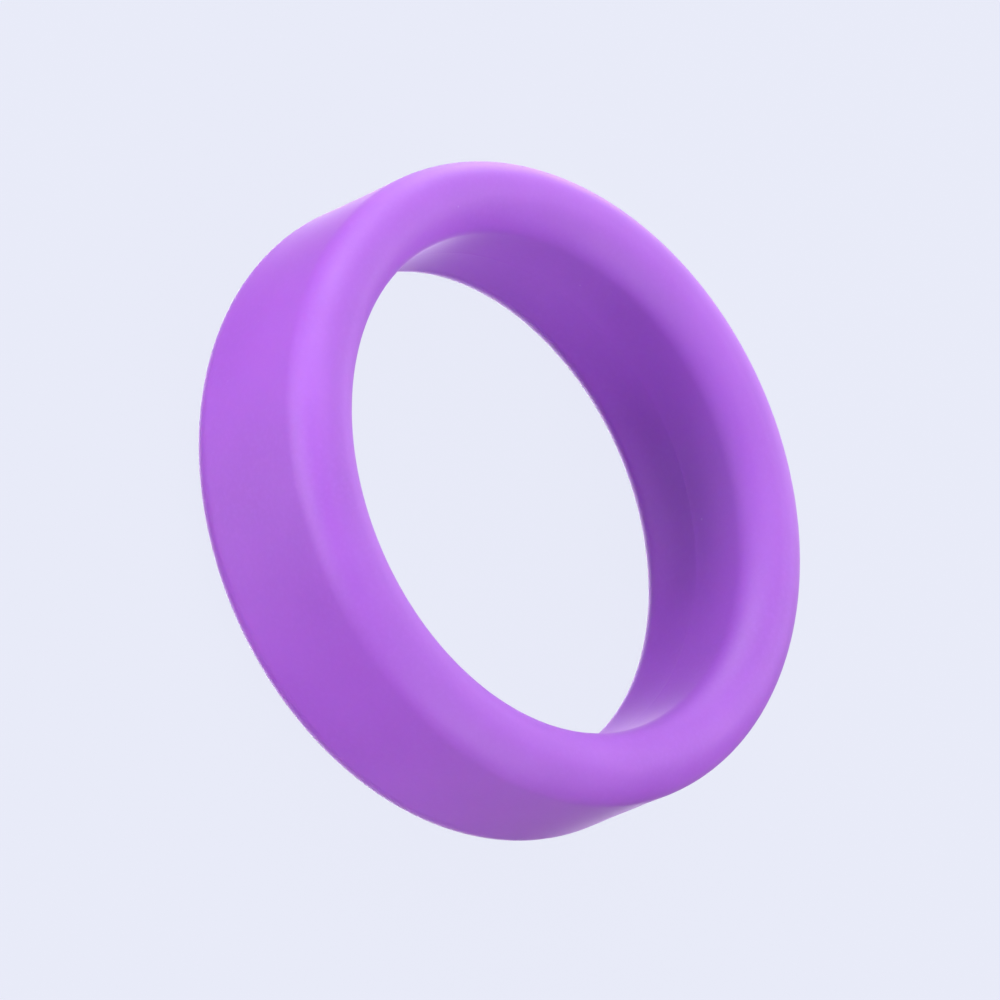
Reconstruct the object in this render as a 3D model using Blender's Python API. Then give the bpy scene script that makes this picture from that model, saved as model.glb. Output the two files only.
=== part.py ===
"""A soft silicone ring: one wide moulded band, open at both ends, with large rounded rims.

The ring lies flat on its lower rim. Its axis is +Z, and the origin is on the axis at the plane
that the ring rests on. Lengths are in metres.
"""

from math import atan, cos, hypot, pi, radians, sin

import bmesh
import bpy

# Driving dimensions.
INNER_DIAMETER = 0.045  # across the bore at mid width, its narrowest place
WALL = 0.0065  # from the bore to the outer wall, at mid width
WIDTH = 0.0165  # along the axis, from rim to rim
INNER_SHOULDER_RADIUS = 0.00295  # rounding from the bore to the rim
OUTER_SHOULDER_RADIUS = 0.00295  # rounding from the rim to the outer wall
INNER_CROWN = 0.00004  # how far the bore swells inwards at mid width
OUTER_WAIST = 0.00004  # how far the outer wall is drawn in at mid width

# How finely the section and the turn are divided.
RING_SEGMENTS = 72
SHOULDER_STEPS = 6
WALL_STEPS = 4

SMOOTH_ANGLE = radians(30)
MERGE_DISTANCE = 0.00001

SILICONE_COLOUR = (0.42, 0.15, 0.72, 1.0)
SILICONE_ROUGHNESS = 0.45
SILICONE_IOR = 1.41


def clear_scene():
    """Remove every object that the scene starts with."""
    for obj in list(bpy.data.objects):
        bpy.data.objects.remove(obj, do_unlink=True)


def arc(centre, radius, start, end, steps):
    """Points (radius from the axis, height) along an arc, both ends included."""
    angles = [start + (end - start) * i / steps for i in range(steps + 1)]
    return [(centre[0] + radius * cos(a), centre[1] + radius * sin(a)) for a in angles]


def wall_arc(reach, bow):
    """Half angle of a shallow wall arc, and the distance from its centre to a shoulder's centre.

    The arc covers a height of reach above mid width. It moves the shoulder outwards by bow, next
    to where a straight wall would put it.
    """
    half_angle = 2 * atan(bow / reach)
    return half_angle, reach / sin(half_angle)


def ring_section():
    """The closed section in the XZ plane, centred on mid width.

    It is made of arcs that touch without a corner. It runs down the outer side, across the lower
    rim, up the bore and back across the upper rim.
    """
    bore = INNER_DIAMETER / 2
    outside = bore + WALL
    half_width = WIDTH / 2

    # The outer wall is hollow by the waist, so its arc is centred outside the ring.
    outer_reach = half_width - OUTER_SHOULDER_RADIUS
    outer_angle, outer_link = wall_arc(outer_reach, OUTER_WAIST)
    waist_radius = outer_link - OUTER_SHOULDER_RADIUS
    waist_centre = (outside + waist_radius, 0.0)
    outer_shoulder = waist_centre[0] - outer_link * cos(outer_angle)

    # The bore swells inwards by the crown, so its arc is centred outside the ring too.
    inner_reach = half_width - INNER_SHOULDER_RADIUS
    inner_angle, inner_link = wall_arc(inner_reach, INNER_CROWN)
    crown_radius = inner_link + INNER_SHOULDER_RADIUS
    crown_centre = (bore + crown_radius, 0.0)
    inner_shoulder = crown_centre[0] - inner_link * cos(inner_angle)

    upper_outer = arc(
        (outer_shoulder, outer_reach), OUTER_SHOULDER_RADIUS, pi / 2, -outer_angle, SHOULDER_STEPS
    )
    outer_wall = arc(waist_centre, waist_radius, pi - outer_angle, pi + outer_angle, WALL_STEPS)
    lower_outer = arc(
        (outer_shoulder, -outer_reach), OUTER_SHOULDER_RADIUS, outer_angle, -pi / 2, SHOULDER_STEPS
    )
    lower_inner = arc(
        (inner_shoulder, -inner_reach), INNER_SHOULDER_RADIUS, -pi / 2, -pi + inner_angle, SHOULDER_STEPS
    )
    bore_wall = arc(crown_centre, crown_radius, pi + inner_angle, pi - inner_angle, WALL_STEPS)
    upper_inner = arc(
        (inner_shoulder, inner_reach), INNER_SHOULDER_RADIUS, pi - inner_angle, pi / 2, SHOULDER_STEPS
    )

    runs = upper_outer, outer_wall, lower_outer, lower_inner, bore_wall, upper_inner
    return without_repeats([point for run in runs for point in run])


def without_repeats(points):
    """The same closed outline, with one point wherever one arc ends and the next begins."""
    kept = []
    for i, point in enumerate(points):
        before = points[i - 1]
        if hypot(point[0] - before[0], point[1] - before[1]) > MERGE_DISTANCE:
            kept.append(point)
    return kept


def turned_mesh(name, section, lift):
    """A closed mesh: the section turned about +Z and raised by lift."""
    bm = bmesh.new()
    verts = [bm.verts.new((radius, 0.0, height + lift)) for radius, height in section]
    edges = [bm.edges.new((verts[i - 1], verts[i])) for i in range(len(verts))]
    bmesh.ops.spin(
        bm,
        geom=verts + edges,
        axis=(0.0, 0.0, 1.0),
        cent=(0.0, 0.0, 0.0),
        angle=2 * pi,
        steps=RING_SEGMENTS,
        use_merge=True,
    )
    bmesh.ops.remove_doubles(bm, verts=bm.verts, dist=MERGE_DISTANCE)
    bmesh.ops.recalc_face_normals(bm, faces=bm.faces)
    mesh = bpy.data.meshes.new(name)
    bm.to_mesh(mesh)
    bm.free()
    mesh.shade_smooth()
    mesh.set_sharp_from_angle(angle=SMOOTH_ANGLE)
    return mesh


def silicone_material():
    """Soft, satin, light purple silicone."""
    material = bpy.data.materials.new("purple_silicone")
    material.use_nodes = True
    shader = material.node_tree.nodes["Principled BSDF"]
    shader.inputs["Base Color"].default_value = SILICONE_COLOUR
    shader.inputs["Roughness"].default_value = SILICONE_ROUGHNESS
    shader.inputs["Metallic"].default_value = 0.0
    shader.inputs["IOR"].default_value = SILICONE_IOR
    return material


def make_silicone_ring():
    """The whole ring, which is one moulded piece."""
    mesh = turned_mesh("silicone_ring", ring_section(), WIDTH / 2)
    ring = bpy.data.objects.new("silicone_ring", mesh)
    ring.data.materials.append(silicone_material())
    bpy.context.scene.collection.objects.link(ring)


clear_scene()
make_silicone_ring()
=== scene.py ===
from math import atan, copysign, cos, exp, hypot, pi, radians, sin, tan

import bpy
from mathutils import Matrix, Vector


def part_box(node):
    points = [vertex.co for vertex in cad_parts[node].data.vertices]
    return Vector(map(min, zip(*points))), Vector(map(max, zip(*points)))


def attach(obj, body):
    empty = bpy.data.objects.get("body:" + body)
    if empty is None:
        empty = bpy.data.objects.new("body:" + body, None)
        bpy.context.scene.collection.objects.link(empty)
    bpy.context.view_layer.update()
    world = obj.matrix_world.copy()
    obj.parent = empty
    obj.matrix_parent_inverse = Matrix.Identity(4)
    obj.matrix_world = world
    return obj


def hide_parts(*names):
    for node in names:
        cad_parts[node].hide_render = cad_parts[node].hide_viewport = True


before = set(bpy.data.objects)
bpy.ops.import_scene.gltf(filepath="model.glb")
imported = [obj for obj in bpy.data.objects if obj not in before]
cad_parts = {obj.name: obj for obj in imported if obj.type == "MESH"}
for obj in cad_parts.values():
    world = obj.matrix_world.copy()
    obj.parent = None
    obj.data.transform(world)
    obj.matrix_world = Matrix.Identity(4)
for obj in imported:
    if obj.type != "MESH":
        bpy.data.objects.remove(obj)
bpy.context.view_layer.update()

# A soft silicone ring on a pale floor. Lengths are in metres.

# The ring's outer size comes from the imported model, and the rest of its section is given here.
RING_LOW, RING_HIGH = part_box("silicone_ring")
WIDTH = RING_HIGH.z - RING_LOW.z
WALL = 0.0065  # from the bore to the outer wall, at mid width
SHOULDER_RADIUS = 0.00305  # rounding from each wall to the rims
OUTER_WAIST = 0.00004  # how far the outer wall is drawn in at mid width
BORE_DRAFT = radians(0.7)  # each half of the bore opens towards its rim by this angle
OUTER_RADIUS = RING_HIGH.x - OUTER_WAIST
BORE_RADIUS = OUTER_RADIUS - WALL
CENTRE = Vector((0.0, 0.0, WIDTH / 2))

# The two halves of the mould meet in a low, thin ridge round the middle of the bore.
RIDGE_HEIGHT = 0.00001
RIDGE_HALF_WIDTH = 0.00018

# How finely the turn and the section are divided.
RING_SEGMENTS = 288
SHOULDER_STEPS = 20
WALL_STEPS = 28  # along the outer wall, and along each half of the bore
BORE_CROWDING = 2.5  # the power by which the bore's steps crowd together at mid width
MERGE_DISTANCE = 0.000001

# Silicone colours, from the darkest pigment to a speck of dust.
SILICONE_DEEP = (0.338, 0.073, 0.625, 1.0)
SILICONE_PALE = (0.378, 0.088, 0.685, 1.0)
SILICONE_GRAIN = (0.394, 0.10, 0.705, 1.0)
SILICONE_DUST = (0.58, 0.34, 0.80, 1.0)

# Noise on the silicone. A scale is the number of features in a metre.
MOST_NOISE = (0.3, 0.7)  # the range that nearly all of a noise falls in
CLOUD_SCALE = 70
GRAIN_SCALE = 2600
GRAIN_NOISE = (0.45, 0.75)  # the range of noise over which the grain comes in
GRAIN_STRENGTH = 0.35
DUST_SCALE = 210
DUST_EDGE = (0.016, 0.03)  # where a speck starts to fade and where it ends, as a part of its cell
DUST_STRENGTH = 0.28
HANDLING_SCALE = 110
ROUGHNESS = (0.60, 0.66)
SKIN_SCALE = 5200
SKIN_STRENGTH = 0.25
SKIN_DEPTH = 0.000006

SILICONE_IOR = 1.78
SUBSURFACE_WEIGHT = 0.5
SUBSURFACE_RADIUS = (1.3, 0.5, 0.9)  # for red, green and blue, in units of the scale
SUBSURFACE_SCALE = 0.0014
SHEEN_WEIGHT = 0.35
SHEEN_ROUGHNESS = 0.35
SHEEN_TINT = (0.92, 0.86, 1.0, 1.0)

# The floor glows in the world's colour, and returns almost none of the light that falls on it.
PALE = (0.80, 0.82, 0.93, 1.0)
FLOOR_HALF = 20.0
FLOOR_GLOW = 0.99
FLOOR_COLOUR = (0.015, 0.0155, 0.017, 1.0)

# The camera: how far its line of sight is off the ring's axis, how the axis leans in the picture,
# its distance, the width of what it sees at the ring, and the ring's place off the middle.
VIEW_OFF_AXIS = radians(45.8)
AXIS_LEAN = radians(23.6)
CAMERA_DISTANCE = 0.9704
SENSOR_WIDTH = 36.0  # in millimetres
VIEW_WIDTH = 0.08667
RING_OFFSET = (0.000266, -0.000032)
CLIP_RANGE = (0.01, 100.0)

# Softboxes: name, azimuth and elevation in degrees, width, height and watts. All stand the same
# distance from the ring.
SOFTBOX_DISTANCE = 0.7
SOFTBOXES = (
    ("key", 243, 0, 0.66, 0.22, 3.7),
    ("key_low", 240, -20, 0.36, 0.24, 1.1),
    ("left", 174, 22, 0.60, 0.24, 3.0),
    ("high_left", 165, 52, 0.45, 0.45, 1.7),
    ("top", 0, 87, 0.42, 0.42, 1.0),
    ("high_right", 0, 52, 0.42, 0.42, 1.8),
    ("right", 330, 22, 0.36, 0.24, 2.0),
    ("under_right", 350, -25, 0.40, 0.30, 0.45),
    ("back", 85, 25, 0.40, 0.40, 2.0),
    ("low_back", 120, -8, 0.42, 0.30, 2.5),
    ("under_back", 90, -58, 0.45, 0.45, 5.0),
)


def arc(centre, radius, start, end, steps):
    """Points (radius from the axis, height) along an arc, both ends included."""
    angles = [start + (end - start) * i / steps for i in range(steps + 1)]
    return [(centre[0] + radius * cos(a), centre[1] + radius * sin(a)) for a in angles]


def outer_side(half_width):
    """The hollow outer wall and its two shoulders, from the upper rim down to the lower rim."""
    reach = half_width - SHOULDER_RADIUS
    half_angle = 2 * atan(OUTER_WAIST / reach)
    link = reach / sin(half_angle)
    waist_radius = link - SHOULDER_RADIUS
    waist_centre = (OUTER_RADIUS + waist_radius, 0.0)
    shoulder = waist_centre[0] - link * cos(half_angle)
    upper = arc((shoulder, reach), SHOULDER_RADIUS, pi / 2, -half_angle, SHOULDER_STEPS)
    wall = arc(waist_centre, waist_radius, pi - half_angle, pi + half_angle, WALL_STEPS)
    lower = arc((shoulder, -reach), SHOULDER_RADIUS, half_angle, -pi / 2, SHOULDER_STEPS)
    return upper + wall + lower


def ridge(height):
    """How far the mould line stands out of the bore at a height from mid width."""
    return RIDGE_HEIGHT * exp(-((height / RIDGE_HALF_WIDTH) ** 2))


def bore_side(half_width):
    """The bore and its two shoulders, from the lower rim up to the upper rim."""
    reach = half_width - SHOULDER_RADIUS
    wall_end = reach - SHOULDER_RADIUS * sin(BORE_DRAFT)
    wall_radius = BORE_RADIUS + wall_end * tan(BORE_DRAFT)
    shoulder = wall_radius + SHOULDER_RADIUS * cos(BORE_DRAFT)
    lower = arc((shoulder, -reach), SHOULDER_RADIUS, -pi / 2, -pi - BORE_DRAFT, SHOULDER_STEPS)
    upper = arc((shoulder, reach), SHOULDER_RADIUS, pi + BORE_DRAFT, pi / 2, SHOULDER_STEPS)
    # The steps crowd together at mid width, where the ridge is.
    steps = [i / WALL_STEPS for i in range(-WALL_STEPS + 1, WALL_STEPS)]
    heights = [copysign(wall_end * abs(t) ** BORE_CROWDING, t) for t in steps]
    wall = [(BORE_RADIUS + tan(BORE_DRAFT) * abs(h) - ridge(h), h) for h in heights]
    return lower + wall + upper


def ring_section():
    """The closed section, with heights measured from mid width and no point twice in a row."""
    points = outer_side(WIDTH / 2) + bore_side(WIDTH / 2)
    kept = []
    for i, point in enumerate(points):
        before = points[i - 1]
        if hypot(point[0] - before[0], point[1] - before[1]) > MERGE_DISTANCE:
            kept.append(point)
    return kept


def ring_mesh():
    """The section turned about the ring's axis, with the lower rim at height 0."""
    section = ring_section()
    count = len(section)
    verts = []
    for segment in range(RING_SEGMENTS):
        turn = 2 * pi * segment / RING_SEGMENTS
        verts += [(r * cos(turn), r * sin(turn), h + WIDTH / 2) for r, h in section]
    faces = []
    for segment in range(RING_SEGMENTS):
        here = segment * count
        there = (segment + 1) % RING_SEGMENTS * count
        for i in range(count):
            j = (i + 1) % count
            faces.append((here + i, here + j, there + j, there + i))
    mesh = bpy.data.meshes.new("silicone_band")
    mesh.from_pydata(verts, [], faces)
    mesh.update()
    mesh.shade_smooth()
    return mesh


class Nodes:
    """Short calls that add nodes to one material and link them."""

    def __init__(self, material):
        self.tree = material.node_tree
        self.shader = self.tree.nodes["Principled BSDF"]

    def add(self, kind, **settings):
        """A new node of a kind, with its settings."""
        node = self.tree.nodes.new(kind)
        for name, value in settings.items():
            setattr(node, name, value)
        return node

    def link(self, out, into):
        """Feed an output into an input."""
        self.tree.links.new(out, into)

    def noise(self, place, scale, detail):
        """Noise with features of about 1 / scale metres."""
        node = self.add("ShaderNodeTexNoise")
        node.inputs["Scale"].default_value = scale
        node.inputs["Detail"].default_value = detail
        self.link(place, node.inputs["Vector"])
        return node.outputs["Fac"]

    def spread(self, value, source, target):
        """Map a value from one range (low, high) onto another."""
        node = self.add("ShaderNodeMapRange")
        names = "From Min", "From Max", "To Min", "To Max"
        for name, number in zip(names, source + target):
            node.inputs[name].default_value = number
        self.link(value, node.inputs["Value"])
        return node.outputs["Result"]

    def blend(self, factor, first, second):
        """Mix two colours; each may be an output or a colour."""
        node = self.add("ShaderNodeMix", data_type="RGBA")
        self.link(factor, node.inputs["Factor"])
        for name, colour in (("A", first), ("B", second)):
            # A Mix node has inputs of several types under each name.
            socket = next(s for s in node.inputs if s.name == name and s.type == "RGBA")
            if isinstance(colour, tuple):
                socket.default_value = colour
            else:
                self.link(colour, socket)
        return next(s for s in node.outputs if s.type == "RGBA")


def silicone():
    """Satin silicone: softly clouded pigment, a fine skin and a few specks of dust."""
    material = bpy.data.materials.new("purple_silicone")
    material.use_nodes = True
    nodes = Nodes(material)
    inputs = nodes.shader.inputs
    place = nodes.add("ShaderNodeTexCoord").outputs["Object"]

    clouds = nodes.spread(nodes.noise(place, CLOUD_SCALE, detail=2), MOST_NOISE, (0, 1))
    colour = nodes.blend(clouds, SILICONE_DEEP, SILICONE_PALE)
    grain = nodes.spread(nodes.noise(place, GRAIN_SCALE, detail=2), GRAIN_NOISE, (0, GRAIN_STRENGTH))
    colour = nodes.blend(grain, colour, SILICONE_GRAIN)
    specks = nodes.add("ShaderNodeTexVoronoi")
    specks.inputs["Scale"].default_value = DUST_SCALE
    nodes.link(place, specks.inputs["Vector"])
    dust = nodes.spread(specks.outputs["Distance"], DUST_EDGE, (DUST_STRENGTH, 0))
    colour = nodes.blend(dust, colour, SILICONE_DUST)
    nodes.link(colour, inputs["Base Color"])

    handled = nodes.spread(nodes.noise(place, HANDLING_SCALE, detail=3), MOST_NOISE, ROUGHNESS)
    nodes.link(handled, inputs["Roughness"])

    skin = nodes.noise(place, SKIN_SCALE, detail=2)
    bump = nodes.add("ShaderNodeBump")
    bump.inputs["Strength"].default_value = SKIN_STRENGTH
    bump.inputs["Distance"].default_value = SKIN_DEPTH
    nodes.link(skin, bump.inputs["Height"])
    nodes.link(bump.outputs["Normal"], inputs["Normal"])

    inputs["IOR"].default_value = SILICONE_IOR
    inputs["Subsurface Weight"].default_value = SUBSURFACE_WEIGHT
    inputs["Subsurface Radius"].default_value = SUBSURFACE_RADIUS
    inputs["Subsurface Scale"].default_value = SUBSURFACE_SCALE
    inputs["Sheen Weight"].default_value = SHEEN_WEIGHT
    inputs["Sheen Roughness"].default_value = SHEEN_ROUGHNESS
    inputs["Sheen Tint"].default_value = SHEEN_TINT
    return material


def make_ring():
    """The whole ring, which is one moulded piece."""
    ring = bpy.data.objects.new("silicone_band", ring_mesh())
    ring.data.materials.append(silicone())
    bpy.context.scene.collection.objects.link(ring)
    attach(ring, "root")
    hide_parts("silicone_ring")


def make_floor():
    """A pale glowing floor, like a light table.

    The softboxes alone light the ring. No light goes from the floor to the ring, and the floor
    stops none of the light that comes from under it.
    """
    half = FLOOR_HALF
    corners = [(-half, -half, 0), (half, -half, 0), (half, half, 0), (-half, half, 0)]
    mesh = bpy.data.meshes.new("floor")
    mesh.from_pydata(corners, [], [(0, 1, 2, 3)])
    floor = bpy.data.objects.new("floor", mesh)
    material = bpy.data.materials.new("pale_floor")
    material.use_nodes = True
    shader = material.node_tree.nodes["Principled BSDF"]
    shader.inputs["Base Color"].default_value = FLOOR_COLOUR
    shader.inputs["Roughness"].default_value = 1.0
    shader.inputs["Specular IOR Level"].default_value = 0.0
    shader.inputs["Emission Color"].default_value = PALE
    shader.inputs["Emission Strength"].default_value = FLOOR_GLOW
    floor.data.materials.append(material)
    bpy.context.scene.collection.objects.link(floor)
    floor.visible_diffuse = False
    floor.visible_glossy = False
    floor.visible_shadow = False


def make_softbox(name, azimuth, elevation, width, height, watts):
    """A soft rectangle of light that faces the ring and doesn't show in any view."""
    data = bpy.data.lights.new(name, "AREA")
    data.shape = "RECTANGLE"
    data.size = width
    data.size_y = height
    data.energy = watts
    light = bpy.data.objects.new(name, data)
    bpy.context.scene.collection.objects.link(light)
    turn, rise = radians(azimuth), radians(elevation)
    away = Vector((cos(turn) * cos(rise), sin(turn) * cos(rise), sin(rise)))
    light.location = CENTRE + SOFTBOX_DISTANCE * away
    light.rotation_mode = "QUATERNION"
    light.rotation_quaternion = away.to_track_quat("Z", "Y")
    light.visible_camera = False


def make_camera():
    """A camera that looks down on the ring at a slant and is rolled, so that its axis leans."""
    data = bpy.data.cameras.new("camera")
    data.sensor_width = SENSOR_WIDTH
    data.lens = SENSOR_WIDTH * CAMERA_DISTANCE / VIEW_WIDTH
    data.clip_start, data.clip_end = CLIP_RANGE
    camera = bpy.data.objects.new("camera", data)
    bpy.context.scene.collection.objects.link(camera)
    back = Vector((0.0, -sin(VIEW_OFF_AXIS), cos(VIEW_OFF_AXIS)))
    level_up = Vector((0.0, cos(VIEW_OFF_AXIS), sin(VIEW_OFF_AXIS)))
    level_right = Vector((1.0, 0.0, 0.0))
    right = sin(AXIS_LEAN) * level_right + cos(AXIS_LEAN) * level_up
    up = sin(AXIS_LEAN) * level_up - cos(AXIS_LEAN) * level_right
    place = CENTRE + CAMERA_DISTANCE * back - RING_OFFSET[0] * right - RING_OFFSET[1] * up
    turn = Matrix((right, up, back)).transposed()
    camera.matrix_world = Matrix.Translation(place) @ turn.to_4x4()
    bpy.context.scene.camera = camera


def make_world():
    """A pale surround. It is only seen, and gives no light of its own."""
    world = bpy.data.worlds.new("studio")
    bpy.context.scene.world = world
    world.use_nodes = True
    background = world.node_tree.nodes["Background"]
    background.inputs["Color"].default_value = PALE
    background.inputs["Strength"].default_value = 1.0
    world.cycles_visibility.diffuse = False
    world.cycles_visibility.glossy = False


make_ring()
make_floor()
for softbox in SOFTBOXES:
    make_softbox(*softbox)
make_camera()
make_world()
bpy.context.scene.view_settings.view_transform = "Standard"
